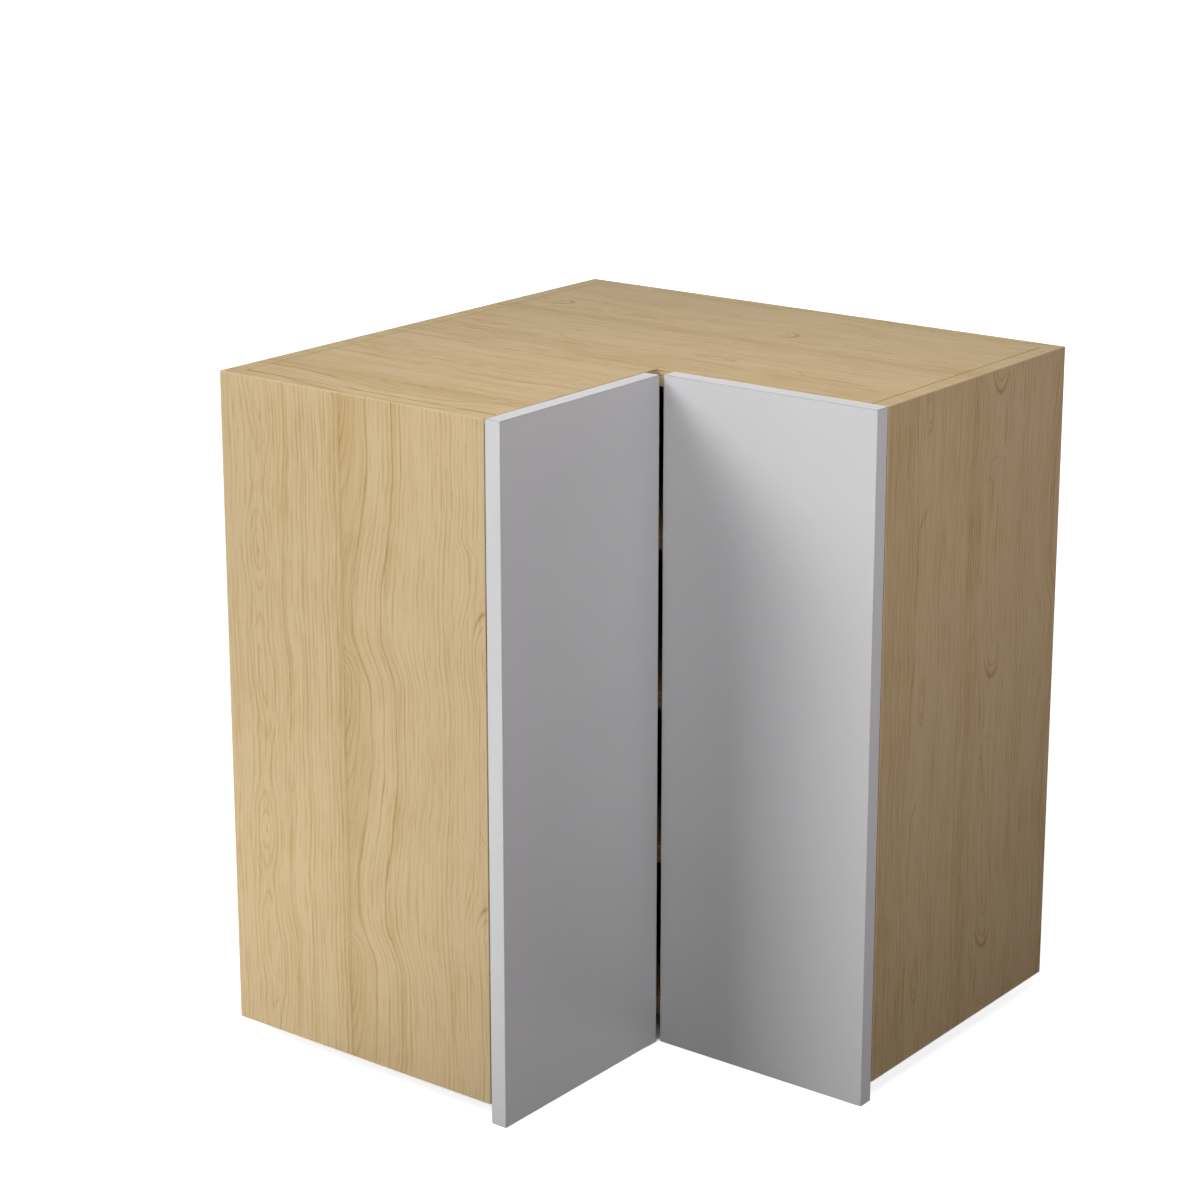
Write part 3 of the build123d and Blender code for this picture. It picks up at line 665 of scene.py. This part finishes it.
def door_finish(name, node):
    """Satin lacquer on a door, with painted shade on its top face and a fine painted shade line along
    the top's edges.
    """
    material, tree, shader, place = new_finish(name, DOOR_ROUGHNESS, gloss=DOOR_GLOSS)
    edge = edges_of(tree, node, place, DOOR_EDGE_SHADE_WIDTH)
    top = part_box(node)[1][2]
    height = split_vector(tree, place)[2]
    at_top = height.above(top - DOOR_EDGE_SHADE_WIDTH)
    on_top = height.above(top - DOOR_TOP_SHADE_SKIN)
    peel = cloud(tree, place, PEEL_FINE, 2.0)
    cloudy = cloud(tree, place, CLOUD_FINE, 2.0)
    share = (0.5 + CLOUD_SHARE * (cloudy - 0.5) + PEEL_SHARE * (peel - 0.5)).most(0.0).least(1.0)
    # Painted shade: the top face is darker, and a fine dark line runs along the top's edges
    body = blend(tree, on_top, blend(tree, share, DOOR_DARK, DOOR_PALE), DOOR_TOP_SHADE)
    colour = blend(tree, edge * at_top * DOOR_EDGE_SHADE_SHARE, body, DOOR_EDGE_SHADE)
    tree.links.new(colour.socket, shader.inputs["Base Color"])
    rough = DOOR_ROUGHNESS + CLOUD_ROUGHNESS * cloudy
    tree.links.new(rough.socket, shader.inputs["Roughness"])
    set_bump(tree, shader, peel, PEEL_RELIEF)
    return material


def metal_finish(name, dark, pale, roughness, fineness, marking):
    """Plated metal: cloudy plating, rolling lines and small scratches."""
    material, tree, shader, place = new_finish(name, roughness, metallic=1.0)
    marks = use_group(tree, metal_marks, {"Place": place, "Line Scale": fineness, "Amount": marking})
    share = UNMARKED_PALE + sum(more * marks[mark] for mark, more in PALE_MARKS.items())
    colour = blend(tree, share.least(1.0), dark, pale)
    tree.links.new(colour.socket, shader.inputs["Base Color"])
    rough = roughness - UNMARKED_SMOOTHER + sum(more * marks[mark] for mark, more in ROUGH_MARKS.items())
    tree.links.new(rough.socket, shader.inputs["Roughness"])
    set_bump(tree, shader, marks["Lines"] - marks["Scratches"], METAL_RELIEF)
    return material


def beech_finish(name):
    """Dowels: pale beech with short dark flecks along the grain."""
    material, tree, shader, place = new_finish(name, BEECH_ROUGHNESS)
    x, y, z = split_vector(tree, place)
    short = joined(tree, x * BEECH_FLECK_WIDE, y * BEECH_FLECK_WIDE, z * BEECH_FLECK_HIGH)
    fleck = cloud(tree, short).rise(*BEECH_FLECK_RISE)
    soft = cloud(tree, place, BEECH_CLOUD_FINE, 2.0)
    colour = blend(tree, (0.5 * fleck + 0.5 * soft).least(1.0), BEECH_PALE, BEECH_DARK)
    tree.links.new(colour.socket, shader.inputs["Base Color"])
    set_bump(tree, shader, soft - fleck, BEECH_RELIEF)
    return material


def bumper_finish(name):
    """Milky soft plastic drops."""
    material, tree, shader, place = new_finish(name, BUMPER_ROUGHNESS)
    soft = cloud(tree, place, BUMPER_CLOUD_FINE, 2.0)
    colour = blend(tree, soft, BUMPER_DARK, BUMPER_PALE)
    tree.links.new(colour.socket, shader.inputs["Base Color"])
    rough = BUMPER_ROUGHNESS + BUMPER_CLOUD_ROUGHNESS * soft
    tree.links.new(rough.socket, shader.inputs["Roughness"])
    return material


def add_camera():
    """A camera that looks down on the inner corner, level from side to side."""
    data = bpy.data.cameras.new("camera")
    data.sensor_width = SENSOR_MM
    data.lens = FOCAL_PIXELS / IMAGE_SIDE * SENSOR_MM
    data.shift_y = CAMERA_SHIFT
    data.clip_start = NEAREST_SEEN
    data.clip_end = FARTHEST_SEEN
    camera = bpy.data.objects.new("camera", data)
    bpy.context.scene.collection.objects.link(camera)
    turn, tilt = math.radians(CAMERA_AZIMUTH), math.radians(CAMERA_ELEVATION)
    ahead = Vector((-math.sin(turn) * math.cos(tilt), math.cos(turn) * math.cos(tilt), -math.sin(tilt)))
    camera.location = CAMERA_PLACE
    camera.rotation_euler = ahead.to_track_quat("-Z", "Y").to_euler()
    bpy.context.scene.camera = camera


def add_lamp(name, place, target, size, power, spread=180.0, tint=(1.0, 1.0, 1.0)):
    """A soft square lamp that faces a point."""
    data = bpy.data.lights.new(name, "AREA")
    data.shape = "SQUARE"
    data.size = size
    data.energy = power
    data.color = tint
    data.spread = math.radians(spread)
    lamp = bpy.data.objects.new(name, data)
    lamp.visible_camera = False
    bpy.context.scene.collection.objects.link(lamp)
    lamp.location = place
    lamp.rotation_euler = (Vector(target) - Vector(place)).to_track_quat("-Z", "Y").to_euler()


def seen_directly(tree):
    """1 for what the camera, a reflection or a glass sees, and 0 for soft light."""
    path = tree.nodes.new("ShaderNodeLightPath")
    camera, glossy, clear = (Wire(tree, path.outputs[name])
                             for name in ("Is Camera Ray", "Is Glossy Ray", "Is Transmission Ray"))
    return camera.most(glossy).most(clear)


def light_room():
    """An even pale room that is seen white, and soft lamps around the cabinet."""
    world = bpy.data.worlds.new("room")
    bpy.context.scene.world = world
    world.use_nodes = True
    tree = world.node_tree
    tree.nodes.clear()
    soft, white = (tree.nodes.new("ShaderNodeBackground") for _ in range(2))
    for light, strength in ((soft, ROOM_LIGHT), (white, 1.0)):
        light.inputs["Color"].default_value = WHITE
        light.inputs["Strength"].default_value = strength
    out = tree.nodes.new("ShaderNodeOutputWorld")
    mix = mix_shaders(tree, seen_directly(tree), soft.outputs[0], white.outputs[0])
    tree.links.new(mix, out.inputs["Surface"])
    for name, lamp in LAMPS.items():
        add_lamp(name, **lamp)


def outside_gap_shadow(tree, place):
    """0 on a strip of floor behind the gap between the doors, where a shadow is painted, and 1
    elsewhere.
    """
    x, y, z = split_vector(tree, place)
    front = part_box("left_door")[1][0]
    on_strip = x.between(front - GAP_SHADE_LENGTH, front, GAP_SHADE_SOFT)
    return 1.0 - on_strip * (x + y).between(-GAP_SHADE_SIDE, GAP_SHADE_SIDE, GAP_SHADE_SOFT)


def distance(tree, place, point):
    """How far a place is from a point."""
    node = tree.nodes.new("ShaderNodeVectorMath")
    node.operation = "DISTANCE"
    node.inputs[1].default_value = point
    tree.links.new(place.socket, node.inputs[0])
    return Wire(tree, node.outputs["Value"])


def floor_finish(name):
    """White where it is seen, with a painted shadow on a strip behind the gap between the doors; to soft
    light it has painted shade beside the cabinet; clear from below.
    """
    material = bpy.data.materials.new(name)
    material.use_nodes = True
    tree = material.node_tree
    tree.nodes.clear()
    place = Wire(tree, tree.nodes.new("ShaderNodeTexCoord").outputs["Object"])
    # Painted shade: to soft light the floor is dark around a spot beside the cabinet and pale further
    # off
    shade = distance(tree, place, PAINTED_SHADE_SPOT).rise(DARK_FROM, DARK_TO, DARK_SHADE, PALE_SHADE)
    painted_shade_diffuse = tree.nodes.new("ShaderNodeBsdfDiffuse")
    tree.links.new(shade.socket, painted_shade_diffuse.inputs["Color"])
    pale = tree.nodes.new("ShaderNodeBsdfDiffuse")
    pale.inputs["Color"].default_value = (PALE_SHADE, PALE_SHADE, PALE_SHADE, 1.0)
    glow = tree.nodes.new("ShaderNodeEmission")
    far_glow = distance(tree, place, FLOOR_MIDDLE).rise(GLOW_FROM, GLOW_TO, FLOOR_GLOW, 1.0)
    # Painted shadow: no glow on the strip behind the gap between the doors
    tree.links.new((far_glow * outside_gap_shadow(tree, place)).socket, glow.inputs["Strength"])
    seen = tree.nodes.new("ShaderNodeAddShader")
    tree.links.new(pale.outputs[0], seen.inputs[0])
    tree.links.new(glow.outputs[0], seen.inputs[1])
    above = mix_shaders(tree, seen_directly(tree), painted_shade_diffuse.outputs[0], seen.outputs[0])
    from_below = Wire(tree, tree.nodes.new("ShaderNodeNewGeometry").outputs["Backfacing"])
    clear = tree.nodes.new("ShaderNodeBsdfTransparent")
    out = tree.nodes.new("ShaderNodeOutputMaterial")
    tree.links.new(mix_shaders(tree, from_below, above, clear.outputs[0]), out.inputs["Surface"])
    return material


def lay_floor():
    """A wide pale floor under the doors' lower edges."""
    mesh = bpy.data.meshes.new("floor")
    r, z = FLOOR_REACH, FLOOR_LEVEL
    mesh.from_pydata([(-r, -r, z), (r, -r, z), (r, r, z), (-r, r, z)], [], [(0, 1, 2, 3)])
    mesh.materials.append(floor_finish("floor_white"))
    floor = bpy.data.objects.new("floor", mesh)
    bpy.context.scene.collection.objects.link(floor)


sheet_place = make_sheet_place()
printed_wood = make_printed_wood(make_eye_shape())
box_edges = make_box_edges()
metal_marks = make_metal_marks()

# Each node gets the finish of its material slot
finishes = {name: metal_finish(name, **metal) for name, metal in METALS.items()}
finishes["dowel_beech"] = beech_finish("dowel_beech")
finishes["bumper_rubber"] = bumper_finish("bumper_rubber")
for part in frame["record"]["subparts"]:
    node, slot = part["node"], part["material_slot"]
    if slot == "wood_board":
        finish = wood_finish(node + "_wood", node, 0.0 if node in UPRIGHT_BOARDS else 1.0)
    elif slot == "door_lacquer":
        finish = door_finish(node + "_lacquer", node)
    else:
        finish = finishes[slot]
    piece = frame["nodes"][node]
    if not piece.material_slots:
        piece.data.materials.append(finish)
    for entry in piece.material_slots:
        entry.material = finish

add_camera()
light_room()
lay_floor()
bpy.context.scene.view_settings.view_transform = "Standard"
